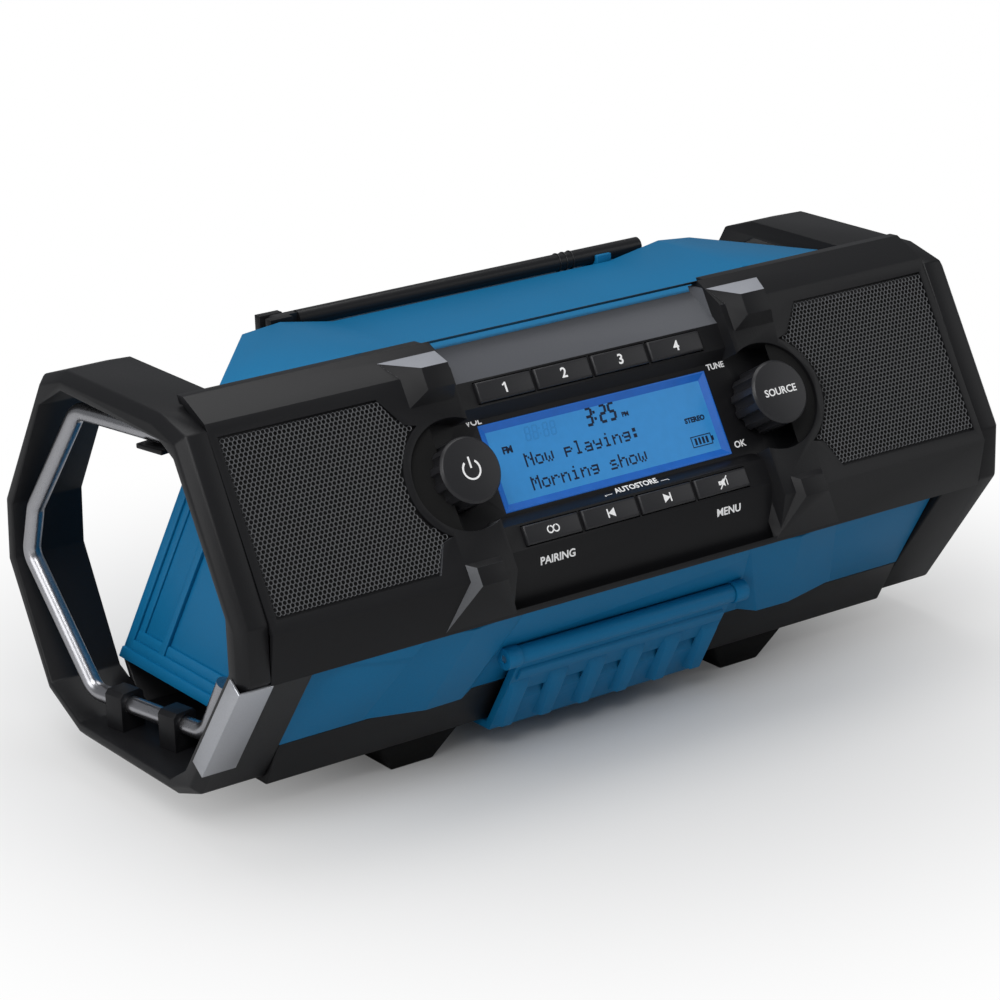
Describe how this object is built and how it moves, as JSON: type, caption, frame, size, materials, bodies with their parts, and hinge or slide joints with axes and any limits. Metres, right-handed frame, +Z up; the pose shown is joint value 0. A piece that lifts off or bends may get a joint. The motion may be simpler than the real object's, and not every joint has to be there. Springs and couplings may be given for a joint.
{
  "type": "jobsite radio",
  "caption": "Free-standing jobsite radio with faceted housing, leaning control panel, end carry loops, fold-out hanging hook and folding antenna.",
  "frame": {"origin": "on the floor under the middle of the radio", "axes": "+X along the radio to the listener's right, +Y to its back, +Z up"},
  "size_m": [0.353, 0.1802, 0.161],
  "materials": {
    "housing_black": "fine moulded grain",
    "housing_blue": "fine moulded grain",
    "button_black": "satin",
    "foot_rubber": "matt",
    "grille_mesh": "perforated, black",
    "speaker_cone": "paper and steel",
    "knob_black": "satin",
    "window_clear": "clear, backlit",
    "lcd_blue": "backlit blue",
    "board_green": "circuit board",
    "encoder_steel": "plain",
    "antenna_black": "satin black",
    "pin_steel": "bright",
    "hook_metal": "satin",
    "plate_metal": "satin"
  },
  "bodies": {
    "root": {"antenna_bracket": "housing_black", "antenna_clip": "housing_blue", "antenna_hinge_pin": "pin_steel", "base_skid": "housing_black", "battery_terminals": "board_green", "battery_tray": "housing_black", "corner_guard_plate": "plate_metal", "display_window": "window_clear", "door_hinge_pins": "pin_steel", "front_bezel": "housing_black", "front_feet": "foot_rubber", "hook_clip": "housing_black", "hook_saddles": "housing_black", "housing_screws": "pin_steel", "lcd_module": "lcd_blue", "left_handle_frame": "housing_black", "left_speaker_driver": "speaker_cone", "left_speaker_grille": "grille_mesh", "main_circuit_board": "board_green", "rear_feet": "foot_rubber", "rear_housing": "housing_blue", "right_handle_frame": "housing_black", "right_speaker_driver": "speaker_cone", "right_speaker_grille": "grille_mesh", "tune_encoder": "encoder_steel", "volume_encoder": "encoder_steel"},
    "volume_slider": {"volume_shaft": "encoder_steel"},
    "volume_dial": {"volume_knob": "knob_black"},
    "tune_slider": {"tune_shaft": "encoder_steel"},
    "tune_dial": {"tune_knob": "knob_black"},
    "antenna": {"antenna_rod": "antenna_black"},
    "hook": {"hanging_hook": "hook_metal"},
    "door": {"battery_door": "housing_blue"},
    "mute_button": {"mute_button": "button_black"},
    "next_button": {"next_button": "button_black"},
    "pairing_button": {"pairing_button": "button_black"},
    "preset_button_1": {"preset_button_1": "button_black"},
    "preset_button_2": {"preset_button_2": "button_black"},
    "preset_button_3": {"preset_button_3": "button_black"},
    "preset_button_4": {"preset_button_4": "button_black"},
    "previous_button": {"previous_button": "button_black"}
  },
  "joints": [
    {"name": "volume_push", "type": "slide", "parent": "root", "child": "volume_slider", "axis": [0, 0.8686, -0.4955], "range_m": [0, 0.0008], "stiffness_N_per_m": 800},
    {"name": "volume_turn", "type": "hinge", "parent": "volume_slider", "child": "volume_dial", "pos_m": [-0.0711, -0.05959, 0.11573], "axis": [0, -0.8686, 0.4955], "continuous": true},
    {"name": "tune_push", "type": "slide", "parent": "root", "child": "tune_slider", "axis": [0, 0.8686, -0.4955], "range_m": [0, 0.0008], "stiffness_N_per_m": 800},
    {"name": "tune_turn", "type": "hinge", "parent": "tune_slider", "child": "tune_dial", "pos_m": [0.0711, -0.05959, 0.11573], "axis": [0, -0.8686, 0.4955], "continuous": true},
    {"name": "mute_button_push", "type": "slide", "parent": "root", "child": "mute_button", "axis": [0, 0.8686, -0.4955], "range_m": [0, 0.001], "stiffness_N_per_m": 500},
    {"name": "next_button_push", "type": "slide", "parent": "root", "child": "next_button", "axis": [0, 0.8686, -0.4955], "range_m": [0, 0.001], "stiffness_N_per_m": 500},
    {"name": "pairing_button_push", "type": "slide", "parent": "root", "child": "pairing_button", "axis": [0, 0.8686, -0.4955], "range_m": [0, 0.001], "stiffness_N_per_m": 500},
    {"name": "preset_button_1_push", "type": "slide", "parent": "root", "child": "preset_button_1", "axis": [0, 0.8686, -0.4955], "range_m": [0, 0.001], "stiffness_N_per_m": 500},
    {"name": "preset_button_2_push", "type": "slide", "parent": "root", "child": "preset_button_2", "axis": [0, 0.8686, -0.4955], "range_m": [0, 0.001], "stiffness_N_per_m": 500},
    {"name": "preset_button_3_push", "type": "slide", "parent": "root", "child": "preset_button_3", "axis": [0, 0.8686, -0.4955], "range_m": [0, 0.001], "stiffness_N_per_m": 500},
    {"name": "preset_button_4_push", "type": "slide", "parent": "root", "child": "preset_button_4", "axis": [0, 0.8686, -0.4955], "range_m": [0, 0.001], "stiffness_N_per_m": 500},
    {"name": "previous_button_push", "type": "slide", "parent": "root", "child": "previous_button", "axis": [0, 0.8686, -0.4955], "range_m": [0, 0.001], "stiffness_N_per_m": 500},
    {"name": "hook_swing", "type": "hinge", "parent": "root", "child": "hook", "pos_m": [-0.163, 0.022, 0.028], "axis": [0.1805, -0.9836, 0], "range_deg": [0, 90]},
    {"name": "antenna_fold", "type": "hinge", "parent": "root", "child": "antenna", "pos_m": [-0.086, 0.0314, 0.1576], "axis": [0, -1, 0], "range_deg": [0, 90]},
    {"name": "door_swing", "type": "hinge", "parent": "root", "child": "door", "pos_m": [0, -0.0673, 0.0455], "axis": [-1, 0, 0], "range_deg": [0, 100]}
  ]
}
